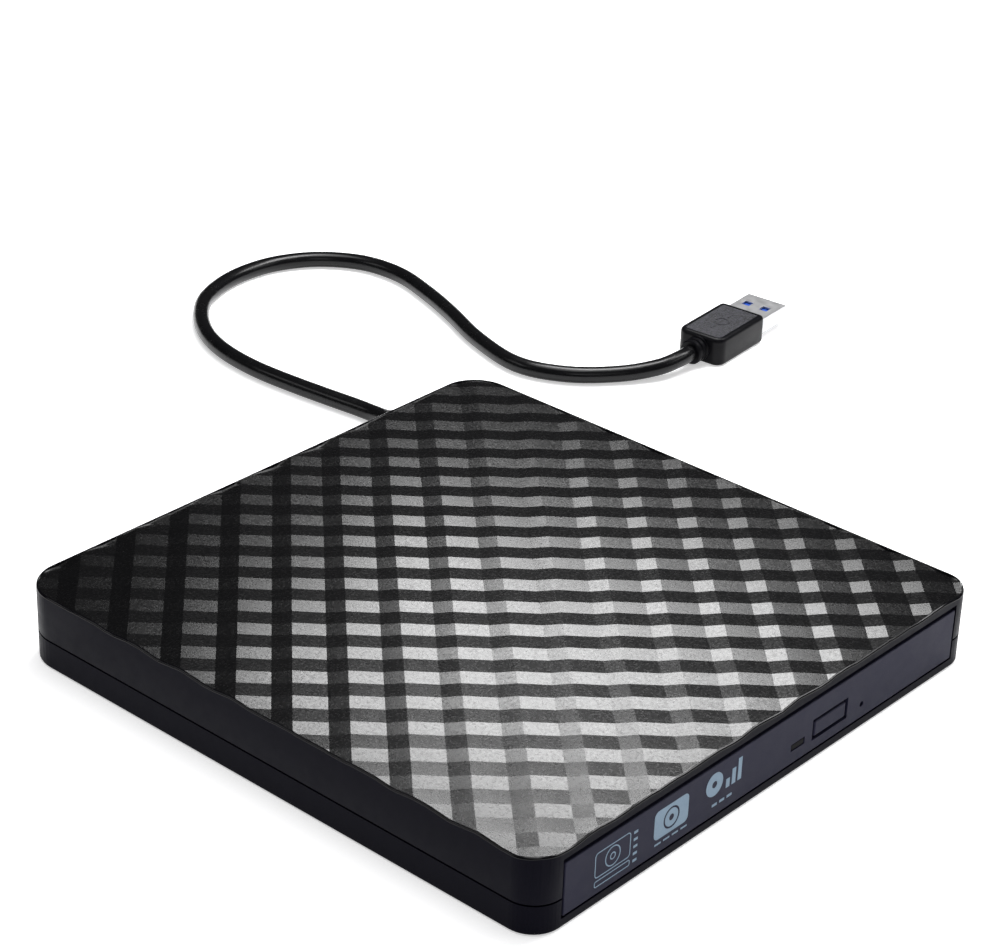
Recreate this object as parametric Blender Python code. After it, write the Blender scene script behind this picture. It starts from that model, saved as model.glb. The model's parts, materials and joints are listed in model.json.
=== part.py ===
"""External optical drive: a square plastic housing around a slim tray drive, with a short captive USB lead.

Frame: origin on the table under the middle of the housing, +Z up, the tray opens towards -Y.
Every size below is in millimetres and is turned into metres when a mesh or a location is made.
"""
import bpy
import bmesh
import math
from mathutils import Vector

MM = 0.001
GAP = 0.3                       # clearance between pieces that touch or fit together

# housing
WIDTH = 145.0
DEPTH = 148.0
HOUSING_BOTTOM = 0.2            # the feet lift the housing this much
HOUSING_TOP = 18.1
SPLIT_Z = 6.9
CORNER_RADII = (9.6, 6.8)       # at the rear and at the front, in plan
BOTTOM_EDGE = 0.4               # rounding along the underside
WALL = 1.6
CEILING_Z = 15.9
FLOOR_Z = 2.1
OPENING_HALF_WIDTH = 65.25
OPENING_Z = (2.2, 15.8)
TONGUE_INSET = 0.95             # the lower shell's tongue inside the upper shell's skirt
TONGUE_TOP = 8.3
FOOT_RADIUS = 5.0
FOOT_RECESS_Z = 1.3
FOOT_PLACES = ((-58.0, -60.0), (58.0, -60.0), (-58.0, 60.0), (58.0, 60.0))
BOSS_RADIUS = 2.7
BOSS_PLACES = ((-67.4, -56.0), (67.4, -56.0), (-67.4, 56.0), (67.4, 56.0))

# slim drive inside the housing
CASE_HALF_WIDTH = 64.0
CASE_FRONT = -69.2
CASE_REAR = 57.0
CASE_Z = (2.5, 15.2)
SHEET = 0.6
TRAY_HALF_WIDTH = 62.0
TRAY_BODY_HALF_WIDTH = 59.0
TRAY_REAR = 54.0
TRAY_WALL = 1.6
DECK_Z = (9.5, 13.3)
DISC_FLOOR_Z = 10.5
DISC_RECESS_RADIUS = 60.3

# bezel and controls
BEZEL_HALF_WIDTH = 64.8
BEZEL_SHIFT = 0.15              # it hangs a little to the right in the opening
BEZEL_FRONT = 0.05 - DEPTH / 2  # a hair behind the housing, so that printed marks stay inside its box
BEZEL_BACK = -69.5
BEZEL_Z = (2.55, 14.7)
BEZEL_PLATE = 2.2
BUTTON_X = (14.5, 25.3)
BUTTON_Z = (5.7, 9.3)
BUTTON_GAP = 0.75
LIGHT_X = (6.8, 10.9)
LIGHT_Z = (5.9, 7.0)
PINHOLE = (31.3, 6.0)
PINHOLE_RADIUS = 0.65

# spindle, sled and the diagonal mechanism under the tray
SPINDLE_Y = -8.0
SLED_ANGLE = math.radians(-45.0)
FRAME_Z = (4.4, 5.9)
SLED_HALF_WIDTH = 11.3
SLED_START = (17.0, 32.0)
SLED_TRAVEL = 32.0
ROD_OFFSET = 9.3
ROD_RADIUS = 1.0
ROD_Z = 7.2
SCREW_OFFSET = -15.6
SCREW_RADIUS = 1.1
LENS_PLACE = 25.0
LENS_HOLDER = (3.8, 4.3)        # half length and half width
HUB_RADIUS = 7.4
TURNTABLE_RADIUS = 14.8

# latch under the left front of the tray
LATCH_POST = (-48.0, -60.0)
LATCH_PIVOT = (-42.0, -46.0)

# sprung plunger that pushes the tray out, at the tray's right rear
EJECTOR_AXIS = (50.0, 6.5)      # x and z
EJECTOR_SPRING_Y = (31.9, 39.3)

# lead
LEAD_EXIT_X = 58.5
LEAD_RADIUS = 2.2
BOOT_LENGTH = 6.0
PLUG_PLACE = (147.5, 61.2)
PLUG_YAW = math.radians(5.0)
PLUG_SIZE = (22.0, 14.0, 8.0)
PLUG_COLLAR = 4.0


def clear_scene():
    for old in list(bpy.data.objects):
        bpy.data.objects.remove(old, do_unlink=True)


def material(name, colour, roughness, metallic=0.0):
    made = bpy.data.materials.new(name)
    made.use_nodes = True
    shader = made.node_tree.nodes["Principled BSDF"]
    shader.inputs["Base Color"].default_value = (*colour, 1.0)
    shader.inputs["Roughness"].default_value = roughness
    shader.inputs["Metallic"].default_value = metallic
    return made


def empty(name, place=(0.0, 0.0, 0.0), yaw=0.0, parent=None):
    made = bpy.data.objects.new(name, None)
    bpy.context.collection.objects.link(made)
    made.location = Vector(place) * MM
    made.rotation_euler = (0.0, 0.0, yaw)
    made.parent = parent
    return made


# ---- bmesh shapes, in millimetres ------------------------------------------------------------------

def loft(bm, rings, closed=False):
    """Bridge rings of points into one solid: its ends are capped, or its last ring meets its first."""
    made = [[bm.verts.new(point) for point in ring] for ring in rings]
    count = len(made[0])
    pairs = list(zip(made, made[1:]))
    if closed:
        pairs.append((made[-1], made[0]))
    faces = []
    for low, high in pairs:
        for i in range(count):
            j = (i + 1) % count
            faces.append(bm.faces.new((low[i], low[j], high[j], high[i])))
    if not closed:
        faces.append(bm.faces.new(made[0]))
        faces.append(bm.faces.new(made[-1]))
    bmesh.ops.recalc_face_normals(bm, faces=faces)


def add_box(bm, x, y, z):
    loft(bm, [[(x[0], y[0], h), (x[1], y[0], h), (x[1], y[1], h), (x[0], y[1], h)] for h in z])


def add_prism(bm, outline, z):
    loft(bm, [[(px, py, h) for px, py in outline] for h in z])


def circle(radius, height, centre=(0.0, 0.0), steps=32):
    turns = [2.0 * math.pi * i / steps for i in range(steps)]
    return [(centre[0] + radius * math.cos(t), centre[1] + radius * math.sin(t), height) for t in turns]


def add_turned(bm, profile, centre=(0.0, 0.0), steps=32, closed=False):
    """A turned solid on a vertical axis from a profile of (radius, height) points."""
    loft(bm, [circle(radius, height, centre, steps) for radius, height in profile], closed)


def add_cylinder(bm, radius, z, centre=(0.0, 0.0), steps=24):
    add_turned(bm, [(radius, z[0]), (radius, z[1])], centre, steps)


def rounded_outline(width, depth, radii, inset=0.0, steps=12):
    """A rounded rectangle moved inwards by inset, with its own corner radii at the rear and at the front."""
    points = []
    for turn, (sx, sy) in enumerate(((1, 1), (-1, 1), (-1, -1), (1, -1))):
        radius = radii[0] if sy > 0 else radii[1]
        for step in range(steps + 1):
            angle = math.pi / 2 * (turn + step / steps)
            points.append((sx * (width / 2 - radius) + (radius - inset) * math.cos(angle),
                           sy * (depth / 2 - radius) + (radius - inset) * math.sin(angle)))
    return points


def housing_ring(inset, z):
    return [(x, y, z) for x, y in rounded_outline(WIDTH, DEPTH, CORNER_RADII, inset)]


def cross_outline(reach, half):
    """A plus sign, for a crosshead screw."""
    corner = [(reach, -half), (reach, half), (half, half)]
    turns = ((1, 0), (0, 1), (-1, 0), (0, -1))
    return [(c * x - s * y, s * x + c * y) for c, s in turns for x, y in corner]


def turn_mesh(bm, axis):
    """Lay a vertical shape along X or Y."""
    for vert in bm.verts:
        x, y, z = vert.co
        vert.co = (z, x, y) if axis == "X" else (x, z, -y)


# ---- objects ---------------------------------------------------------------------------------------

def add_object(name, bm, look, parent=None, place=(0.0, 0.0, 0.0), smooth=False):
    bmesh.ops.scale(bm, vec=(MM, MM, MM), verts=bm.verts)
    mesh = bpy.data.meshes.new(name)
    bm.to_mesh(mesh)
    bm.free()
    made = bpy.data.objects.new(name, mesh)
    bpy.context.collection.objects.link(made)
    made.location = Vector(place) * MM
    made.parent = parent
    if look is not None:
        mesh.materials.append(look)
    if smooth:
        mesh.shade_smooth()
        mesh.set_sharp_from_angle(angle=math.radians(35.0))
    return made


def box_object(name, x, y, z, look, parent=None):
    """A block given by its extents, with its origin at its middle."""
    centre = [(low + high) / 2 for low, high in (x, y, z)]
    bm = bmesh.new()
    add_box(bm, *[(low - mid, high - mid) for (low, high), mid in zip((x, y, z), centre)])
    return add_object(name, bm, look, parent, centre)


def combine(target, other, operation):
    """Cut another object out of the target, or join it on, and hide the helper."""
    other.hide_render = True
    other.display_type = "WIRE"
    other.parent = target.parent
    change = target.modifiers.new(other.name, "BOOLEAN")
    change.operation = operation
    change.object = other


def cut(target, name, bm):
    combine(target, add_object(name, bm, None), "DIFFERENCE")


def join(target, name, bm):
    combine(target, add_object(name, bm, None), "UNION")


def soften(target, width, segments=1):
    bevel = target.modifiers.new("edges", "BEVEL")
    bevel.width = width * MM
    bevel.segments = segments
    bevel.limit_method = "ANGLE"
    bevel.angle_limit = math.radians(50.0)


# ---- housing ---------------------------------------------------------------------------------------

def upper_shell(look):
    rebate = TONGUE_INSET - GAP
    edge = SPLIT_Z + GAP / 2
    rings = [(WALL, CEILING_Z), (WALL, TONGUE_TOP + GAP), (rebate, TONGUE_TOP + GAP), (rebate, edge),
             (0.0, edge), (0.0, HOUSING_TOP - 0.8), (0.25, HOUSING_TOP - 0.25), (0.9, HOUSING_TOP)]
    bm = bmesh.new()
    loft(bm, [housing_ring(inset, z) for inset, z in rings])
    shell = add_object("upper_shell", bm, look, smooth=True)
    bosses = bmesh.new()
    for place in BOSS_PLACES:
        add_cylinder(bosses, BOSS_RADIUS, (TONGUE_TOP + 1.0, CEILING_Z + 0.5), place, 16)
    join(shell, "upper_bosses", bosses)
    openings = bmesh.new()
    x = (-OPENING_HALF_WIDTH, OPENING_HALF_WIDTH)
    add_box(openings, x, (-DEPTH / 2 - 2.0, -DEPTH / 2 + WALL + 0.6), (SPLIT_Z - 2.0, OPENING_Z[1]))
    for place in BOSS_PLACES:
        add_cylinder(openings, 1.4, (TONGUE_TOP, CEILING_Z - 1.0), place, 12)
    cut(shell, "upper_openings", openings)
    cut(shell, "upper_lead_hole", lead_hole())
    return shell


def lead_hole():
    bm = bmesh.new()
    add_cylinder(bm, 3.2 + GAP, (DEPTH / 2 - WALL - 1.0, DEPTH / 2 + 1.0), (LEAD_EXIT_X, -SPLIT_Z), 24)
    turn_mesh(bm, "Y")
    return bm


def lower_shell(look):
    edge = SPLIT_Z - GAP / 2
    corner = 0.3 * BOTTOM_EDGE
    rings = [(BOTTOM_EDGE, HOUSING_BOTTOM), (corner, HOUSING_BOTTOM + corner),
             (0.0, HOUSING_BOTTOM + BOTTOM_EDGE), (0.0, edge),
             (TONGUE_INSET, edge), (TONGUE_INSET, TONGUE_TOP), (WALL, TONGUE_TOP), (WALL, FLOOR_Z)]
    bm = bmesh.new()
    loft(bm, [housing_ring(inset, z) for inset, z in rings])
    shell = add_object("lower_shell", bm, look, smooth=True)
    extras = bmesh.new()
    for place in BOSS_PLACES:
        add_cylinder(extras, BOSS_RADIUS, (FLOOR_Z - 0.5, TONGUE_TOP + 0.4), place, 16)
    for side in (-1, 1):
        rib_x = sorted((side * (CASE_HALF_WIDTH + GAP), side * (CASE_HALF_WIDTH + 1.1)))
        add_box(extras, rib_x, (-40.0, 40.0), (FLOOR_Z - 0.5, 6.0))
        post_x = sorted((side * 38.0, side * 44.0))
        add_box(extras, post_x, (62.0, 69.0), (FLOOR_Z - 0.5, 3.6))
    join(shell, "lower_bosses", extras)
    openings = bmesh.new()
    x = (-OPENING_HALF_WIDTH, OPENING_HALF_WIDTH)
    add_box(openings, x, (-DEPTH / 2 - 2.0, -DEPTH / 2 + WALL + 0.6), (OPENING_Z[0], TONGUE_TOP + 1.0))
    for place in BOSS_PLACES:
        add_cylinder(openings, 1.4, (1.0, TONGUE_TOP + 1.0), place, 12)
    for place in FOOT_PLACES:
        add_cylinder(openings, FOOT_RADIUS + GAP, (-1.0, FOOT_RECESS_Z), place, 24)
    cut(shell, "lower_openings", openings)
    counterbores = bmesh.new()
    for place in BOSS_PLACES:
        add_cylinder(counterbores, 2.3, (-1.0, 1.6), place, 16)
    cut(shell, "lower_counterbores", counterbores)
    cut(shell, "lower_lead_hole", lead_hole())
    return shell


def feet(look):
    for number, place in enumerate(FOOT_PLACES, 1):
        bm = bmesh.new()
        add_turned(bm, [(FOOT_RADIUS - 0.4, 0.0), (FOOT_RADIUS, 0.3), (FOOT_RADIUS, 1.0)], steps=24)
        add_object(f"rubber_foot_{number}", bm, look, place=(*place, 0.0), smooth=True)


def case_screws(look):
    for number, place in enumerate(BOSS_PLACES, 1):
        bm = bmesh.new()
        add_turned(bm, [(2.0, 0.6), (2.0, 1.3), (1.1, 1.3), (1.1, 13.0), (0.5, 13.8)], steps=16)
        screw = add_object(f"case_screw_{number}", bm, look, place=(*place, 0.0), smooth=True)
        slot = bmesh.new()
        add_prism(slot, cross_outline(1.2, 0.25), (0.0, 1.0))
        combine(screw, add_object(f"screw_drive_{number}", slot, None, place=(*place, 0.0)), "DIFFERENCE")


# ---- the slim drive's fixed case -------------------------------------------------------------------

def drive_pan(look):
    inner = CASE_HALF_WIDTH - SHEET - GAP
    bm = bmesh.new()
    add_box(bm, (-inner, inner), (CASE_FRONT, CASE_REAR), (CASE_Z[0], 14.2))
    pan = add_object("drive_pan", bm, look)
    hollow = bmesh.new()
    add_box(hollow, (SHEET - inner, inner - SHEET), (CASE_FRONT - 1.0, CASE_REAR - SHEET),
            (CASE_Z[0] + SHEET, 16.0))
    cut(pan, "pan_hollow", hollow)
    window = bmesh.new()
    add_box(window, (-46.3, -21.7), (CASE_REAR - 2.0, CASE_REAR + 2.0), (3.7, 9.3))
    cut(pan, "pan_window", window)
    post = bmesh.new()
    add_cylinder(post, 1.1, (CASE_Z[0] + 0.2, 6.4), LATCH_POST, 12)
    join(pan, "latch_post", post)


def drive_cover(look):
    top = CASE_Z[1]
    bm = bmesh.new()
    add_box(bm, (-CASE_HALF_WIDTH, CASE_HALF_WIDTH), (CASE_FRONT, CASE_REAR + GAP + SHEET), (9.0, top))
    cover = add_object("drive_cover", bm, look)
    inner = CASE_HALF_WIDTH - SHEET
    hollow = bmesh.new()
    add_box(hollow, (-inner, inner), (CASE_FRONT - 1.0, CASE_REAR + GAP), (8.0, top - SHEET))
    cut(cover, "cover_hollow", hollow)
    clearance = bmesh.new()
    add_box(clearance, (-47.0, -21.0), (CASE_REAR - 1.0, CASE_REAR + 2.0), (8.0, 10.4))
    cut(cover, "cover_notch", clearance)


def channel(name, look, parent, side, x, flange_reach, y, z, thickness):
    """A C-section strip, open towards the middle of the drive: web against x[1], flanges inwards."""
    bm = bmesh.new()
    outline = [(x[1], z[0]), (x[1], z[1]), (flange_reach, z[1]), (flange_reach, z[1] - thickness),
               (x[0], z[1] - thickness), (x[0], z[0] + thickness), (flange_reach, z[0] + thickness),
               (flange_reach, z[0])]
    rings = [[(side * px, py, pz) for px, pz in outline] for py in y]
    loft(bm, rings)
    return add_object(name, bm, look, parent)


def rail_guides(look):
    for side, label in ((-1, "left"), (1, "right")):
        channel(f"rail_guide_{label}", look, None, side, (61.5, 62.2), 60.1, (-68.5, 54.0), (3.4, 9.2), 0.7)


def sliding_rails(look):
    for side, label in ((-1, "left"), (1, "right")):
        root = empty(f"{label}_rail_slide", (side * 60.9, -9.0, 6.3))
        rail = channel(f"{label}_rail", look, root, side, (60.6, 61.2), 59.3, (-66.0, 48.0), (4.4, 8.2), 0.7)
        rail.location = -root.location


def rear_electronics(looks):
    box_object("slimline_plug", (-46.0, -22.0), (54.4, 59.0), (4.0, 9.0), looks["black plastic"])
    box_object("slimline_socket", (-46.0, -22.0), (59.3, 64.0), (5.2, 9.6), looks["black plastic"])
    box_object("bridge_board", (-52.0, 46.0), (59.3, 71.0), (3.9, 4.9), looks["green board"])
    box_object("bridge_chip", (0.0, 9.0), (61.0, 70.0), (5.2, 6.2), looks["chip"])
    crystal = bmesh.new()
    add_prism(crystal, rounded_outline(9.0, 3.6, (1.75, 1.75), steps=4), (5.2, 8.2))
    add_object("bridge_crystal", crystal, looks["steel"], place=(20.0, 65.0, 0.0), smooth=True)


# ---- tray ------------------------------------------------------------------------------------------

def tray(look, root):
    bm = bmesh.new()
    add_box(bm, (-TRAY_HALF_WIDTH, TRAY_HALF_WIDTH), (CASE_FRONT, TRAY_REAR), DECK_Z)
    body = add_object("tray", bm, look, root, smooth=True)
    skirt = bmesh.new()
    half = TRAY_BODY_HALF_WIDTH
    add_box(skirt, (-half, half), (CASE_FRONT + 0.01, TRAY_REAR - 0.01), (4.2, DECK_Z[0] + 0.5))
    join(body, "tray_skirt", skirt)
    tongues = bmesh.new()
    for side in (-1, 1):
        tongue_x = sorted((side * (half - 0.5), side * 60.3))
        add_box(tongues, tongue_x, (-68.0, 50.0), (5.4, 7.2))
    join(body, "tray_tongues", tongues)
    pocket = bmesh.new()
    inner = half - TRAY_WALL
    add_box(pocket, (-inner, inner), (CASE_FRONT + TRAY_WALL, TRAY_REAR - TRAY_WALL), (3.0, DECK_Z[0]))
    cut(body, "tray_pocket", pocket)
    recess = bmesh.new()
    add_cylinder(recess, DISC_RECESS_RADIUS, (DISC_FLOOR_Z, DECK_Z[1] + 1.0), (0.0, SPINDLE_Y), 72)
    cut(body, "disc_recess", recess)
    notch = bmesh.new()
    add_cylinder(notch, 11.0, (DISC_FLOOR_Z + 0.01, DECK_Z[1] + 1.0), (0.0, CASE_FRONT + 3.0), 24)
    cut(body, "finger_notch", notch)
    window = mechanism_outline(GAP)
    opening = bmesh.new()
    add_prism(opening, [mechanism_to_drive(point) for point in window], (DECK_Z[0] - 1.0, DISC_FLOOR_Z + 0.5))
    cut(body, "deck_window", opening)
    holes = bmesh.new()
    add_box(holes, (18.1, 21.7), (CASE_FRONT - 1.0, CASE_FRONT + 3.0), (6.1, 8.9))
    add_box(holes, (LATCH_POST[0] - 2.5, LATCH_POST[0] + 2.5), (TRAY_REAR - 3.0, TRAY_REAR + 1.0), (3.0, 7.2))
    cut(body, "tray_wall_holes", holes)
    plunger_hole = bmesh.new()
    x, z = EJECTOR_AXIS
    add_cylinder(plunger_hole, 1.2 + GAP, (TRAY_REAR - 4.0, TRAY_REAR + 1.0), (x, -z), 16)
    turn_mesh(plunger_hole, "Y")
    cut(body, "plunger_hole", plunger_hole)
    stop = bmesh.new()
    stop_y = EJECTOR_SPRING_Y[0] - 0.6
    add_box(stop, (x - 2.5, x + 2.5), (stop_y - 1.4, stop_y), (4.2, DECK_Z[0] + 0.4))
    join(body, "ejector_stop", stop)


def mechanism_outline(grow=0.0):
    """The metal cover over the mechanism, in the mechanism's own frame: +X runs along the sled's travel."""
    rear, side, front = -19.0 - grow, 19.5 + grow, 63.0 + grow
    half = [(rear, 13.0 + grow), (-12.5 - grow, side), (44.0 + grow, side), (front, 11.0 + grow)]
    return half + [(x, -y) for x, y in reversed(half)]


def mechanism_to_drive(point):
    x, y = point
    c, s = math.cos(SLED_ANGLE), math.sin(SLED_ANGLE)
    return (c * x - s * y, s * x + c * y + SPINDLE_Y)


def tray_bezel(look, root):
    bm = bmesh.new()
    x = (BEZEL_SHIFT - BEZEL_HALF_WIDTH, BEZEL_SHIFT + BEZEL_HALF_WIDTH)
    add_box(bm, x, (BEZEL_FRONT, BEZEL_BACK), BEZEL_Z)
    bezel = add_object("tray_bezel", bm, look, root)
    soften(bezel, 0.2, 2)
    back = bmesh.new()
    inner = BEZEL_HALF_WIDTH - 1.5
    add_box(back, (-inner, inner), (BEZEL_FRONT + BEZEL_PLATE, BEZEL_BACK + 1.0), (3.9, 13.9))
    cut(bezel, "bezel_back", back)
    holes = bmesh.new()
    y = (BEZEL_FRONT - 1.0, BEZEL_FRONT + BEZEL_PLATE + 0.5)
    for x, z, gap in ((BUTTON_X, BUTTON_Z, BUTTON_GAP), (LIGHT_X, LIGHT_Z, GAP)):
        add_box(holes, (x[0] - gap, x[1] + gap), y, (z[0] - gap, z[1] + gap))
    cut(bezel, "bezel_holes", holes)
    pinhole = bmesh.new()
    add_cylinder(pinhole, PINHOLE_RADIUS, y, (PINHOLE[0], -PINHOLE[1]), 12)
    turn_mesh(pinhole, "Y")
    cut(bezel, "pinhole", pinhole)


def light_guide(look, root):
    guide = box_object("light_guide", LIGHT_X, (BEZEL_FRONT + 0.1, -72.5), LIGHT_Z, look, root)
    back = BEZEL_FRONT + BEZEL_PLATE + GAP
    x_middle = sum(LIGHT_X) / 2
    z_middle = sum(LIGHT_Z) / 2
    for name, half_x, y, half_z in (("light_stem", 1.6, (-73.0, back + 0.4), 0.4),
                                    ("light_flange", 3.0, (back, back + 0.8), 1.4)):
        bm = bmesh.new()
        add_box(bm, (x_middle - half_x, x_middle + half_x), y, (z_middle - half_z, z_middle + half_z))
        join(guide, name, bm)


def eject_button(look, root):
    slide = empty("eject_button_slide", (sum(BUTTON_X) / 2, BEZEL_FRONT, sum(BUTTON_Z) / 2), parent=root)
    half_x = (BUTTON_X[1] - BUTTON_X[0]) / 2
    half_z = (BUTTON_Z[1] - BUTTON_Z[0]) / 2
    bm = bmesh.new()
    add_box(bm, (-half_x, half_x), (0.0, BEZEL_PLATE + GAP + 0.4), (-half_z, half_z))
    button = add_object("eject_button", bm, look, slide)
    soften(button, 0.3, 2)
    back = bmesh.new()
    flange_y = BEZEL_PLATE + GAP
    add_box(back, (-half_x - 1.2, half_x + 1.2), (flange_y, flange_y + 0.6), (-half_z - 1.1, half_z + 1.1))
    join(button, "button_flange", back)
    stem = bmesh.new()
    add_box(stem, (-1.4, 1.4), (flange_y + 0.3, 7.1), (-1.0, 1.0))
    join(button, "button_stem", stem)


def tray_bottom_cover(look, root):
    half = TRAY_BODY_HALF_WIDTH - 0.1
    plate = box_object("tray_bottom_cover", (-half, half), (CASE_FRONT, TRAY_REAR), (3.4, 3.9), look, root)
    slot = bmesh.new()
    centre = plate.location / MM
    slot_x = (LATCH_POST[0] - 2.5 - centre.x, LATCH_POST[0] + 2.5 - centre.x)
    add_box(slot, slot_x, (-64.0 - centre.y, TRAY_REAR + 2.0 - centre.y), (-2.0, 2.0))
    combine(plate, add_object("post_slot", slot, None, place=centre), "DIFFERENCE")


def tray_electronics(looks, root):
    box_object("front_board", (-20.0, 26.0), (-67.2, -63.4), (4.3, 5.1), looks["green board"], root)
    box_object("eject_switch", (17.0, 22.8), (-66.2, -63.6), (5.4, 8.8), looks["black plastic"], root)
    box_object("main_board", (-43.0, 44.0), (21.0, 50.0), (4.3, 5.1), looks["green board"], root)
    box_object("drive_chip", (-12.0, 4.0), (27.0, 43.0), (5.4, 6.6), looks["chip"], root)
    box_object("motor_driver_chip", (16.0, 25.0), (30.0, 39.0), (5.4, 6.4), looks["chip"], root)


# ---- mechanism under the tray ----------------------------------------------------------------------

def mechanism_cover(look, mechanism):
    bm = bmesh.new()
    add_prism(bm, mechanism_outline(), (9.6, 10.2))
    plate = add_object("mechanism_cover", bm, look, mechanism)
    holes = bmesh.new()
    add_cylinder(holes, TURNTABLE_RADIUS + 0.9, (8.0, 12.0), steps=40)
    cut(plate, "spindle_opening", holes)
    slot = bmesh.new()
    add_box(slot, (12.0, 55.0), (-7.5, 7.5), (8.0, 12.0))
    cut(plate, "lens_slot", slot)
    slot_end = bmesh.new()
    reach = LENS_PLACE + SLED_TRAVEL + LENS_HOLDER[0] + 2 * GAP
    width = LENS_HOLDER[1] + 1.0
    add_box(slot_end, (54.0, reach), (-width, width), (8.0, 12.0))
    cut(plate, "lens_slot_end", slot_end)


def traverse_frame(look, mechanism):
    outline = [(-20.0, -12.0), (-14.0, -23.0), (30.0, -23.0), (40.0, -19.0), (60.0, -19.0), (69.0, -11.5),
               (69.0, 11.5), (60.0, 19.0), (40.0, 19.0), (30.0, 23.0), (-14.0, 23.0), (-20.0, 12.0)]
    bm = bmesh.new()
    add_prism(bm, outline, FRAME_Z)
    frame = add_object("traverse_frame", bm, look, mechanism)
    edge = SLED_HALF_WIDTH + GAP
    window = bmesh.new()
    add_prism(window, [(13.3, -edge), (66.3, -edge), (66.3, edge), (13.3, edge)], (3.0, 8.0))
    cut(frame, "sled_window", window)
    motor_bay = bmesh.new()
    add_box(motor_bay, (8.7, 20.8), (-19.6, -edge + 1.0), (3.0, 8.0))
    cut(frame, "motor_bay", motor_bay)
    rotor_hole = bmesh.new()
    add_cylinder(rotor_hole, 12.6, (3.0, 8.0), steps=32)
    cut(frame, "rotor_hole", rotor_hole)


def dampers(look, mechanism):
    for number, place in enumerate(((-10.0, -19.0), (-10.0, 19.0), (51.0, 15.3)), 1):
        bm = bmesh.new()
        z = FRAME_Z[1] + GAP
        add_turned(bm, [(2.5, z), (2.5, z + 0.9), (1.6, z + 1.2), (1.6, z + 1.8), (2.5, z + 2.1), (2.5, 9.2)],
                   steps=16)
        add_object(f"rubber_damper_{number}", bm, look, mechanism, (*place, 0.0), smooth=True)


def guide_rods(look, mechanism):
    for number, side in enumerate((-1, 1), 1):
        bm = bmesh.new()
        add_cylinder(bm, ROD_RADIUS, (11.0, 68.0), steps=12)
        turn_mesh(bm, "X")
        add_object(f"guide_rod_{number}", bm, look, mechanism, (0.0, side * ROD_OFFSET, ROD_Z), smooth=True)


def spindle(looks, mechanism):
    base = bmesh.new()
    add_turned(base, [(12.2, 4.3), (12.2, 5.2), (3.0, 5.2), (3.0, 8.0)])
    add_object("spindle_motor_base", base, looks["steel"], mechanism, smooth=True)
    axle = empty("spindle_axle", parent=mechanism)
    rotor = bmesh.new()
    add_turned(rotor, [(3.0 + GAP, 5.5), (11.6, 5.5), (11.6, 9.0), (11.0, 9.3), (6.5, 9.3), (6.5, 10.6),
                       (TURNTABLE_RADIUS, 10.6), (TURNTABLE_RADIUS, 11.2), (HUB_RADIUS, 11.2),
                       (HUB_RADIUS, 13.0), (HUB_RADIUS - 1.0, 13.7), (2.0, 13.7), (2.0, 12.9),
                       (0.4, 12.9), (0.4, 8.0 + GAP), (3.0 + GAP, 8.0 + GAP)], steps=40, closed=True)
    body = add_object("turntable", rotor, looks["black plastic"], axle, smooth=True)
    pad = bmesh.new()
    add_turned(pad, [(14.3, 11.5), (14.3, 11.8), (9.6, 11.8), (9.6, 11.5)], steps=32, closed=True)
    add_object("turntable_pad", pad, looks["rubber"], axle, smooth=True)
    for number in range(3):
        turn = empty(f"hub_claw_slide_{number + 1}", yaw=math.radians(60.0 + 120.0 * number), parent=axle)
        pocket = bmesh.new()
        add_box(pocket, (3.6, 8.4), (-1.6, 1.6), (11.7, 12.9))
        cutter = add_object(f"claw_pocket_{number + 1}", pocket, None)
        combine(body, cutter, "DIFFERENCE")
        cutter.parent = turn
        claw = bmesh.new()
        loft(claw, [[(4.6, y, 12.0), (7.0, y, 12.0), (7.7, y, 12.3), (7.0, y, 12.6), (4.6, y, 12.6)]
                    for y in (-1.25, 1.25)])
        add_object(f"hub_claw_{number + 1}", claw, looks["white plastic"], turn)


def optical_sled(looks, mechanism):
    slide = empty("sled_slide", parent=mechanism)
    half = SLED_HALF_WIDTH
    bm = bmesh.new()
    add_box(bm, SLED_START, (-half, half), (4.6, 9.0))
    sled = add_object("optical_sled", bm, looks["cast metal"], slide)
    bores = bmesh.new()
    for side in (-1, 1):
        add_cylinder(bores, ROD_RADIUS + GAP, (10.0, 40.0), (side * ROD_OFFSET, ROD_Z), 12)
    turn_mesh(bores, "X")
    cut(sled, "rod_bores", bores)
    pocket = bmesh.new()
    add_box(pocket, (LENS_PLACE - 5.3, LENS_PLACE + 5.3), (-5.0, 5.0), (6.9, 10.0))
    cut(sled, "lens_pocket", pocket)
    arm = bmesh.new()
    add_box(arm, (21.8, 24.4), (SCREW_OFFSET + SCREW_RADIUS + GAP, 1.0 - half), (6.4, 8.6))
    join(sled, "screw_follower", arm)
    focus = empty("lens_focus", (LENS_PLACE, 0.0, 8.6), parent=slide)
    holder = bmesh.new()
    half_x, half_y = LENS_HOLDER
    add_box(holder, (-half_x, half_x), (-half_y, half_y), (-1.0, 1.1))
    frame = add_object("lens_holder", holder, looks["black plastic"], focus)
    bore = bmesh.new()
    add_cylinder(bore, 2.1 + GAP, (-2.0, 2.0), steps=24)
    cut(frame, "lens_seat", bore)
    lens = bmesh.new()
    add_turned(lens, [(2.1, -0.6), (2.1, 0.9), (1.5, 1.25), (0.7, 1.45)], steps=24)
    add_object("objective_lens", lens, looks["lens glass"], focus, smooth=True)


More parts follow.
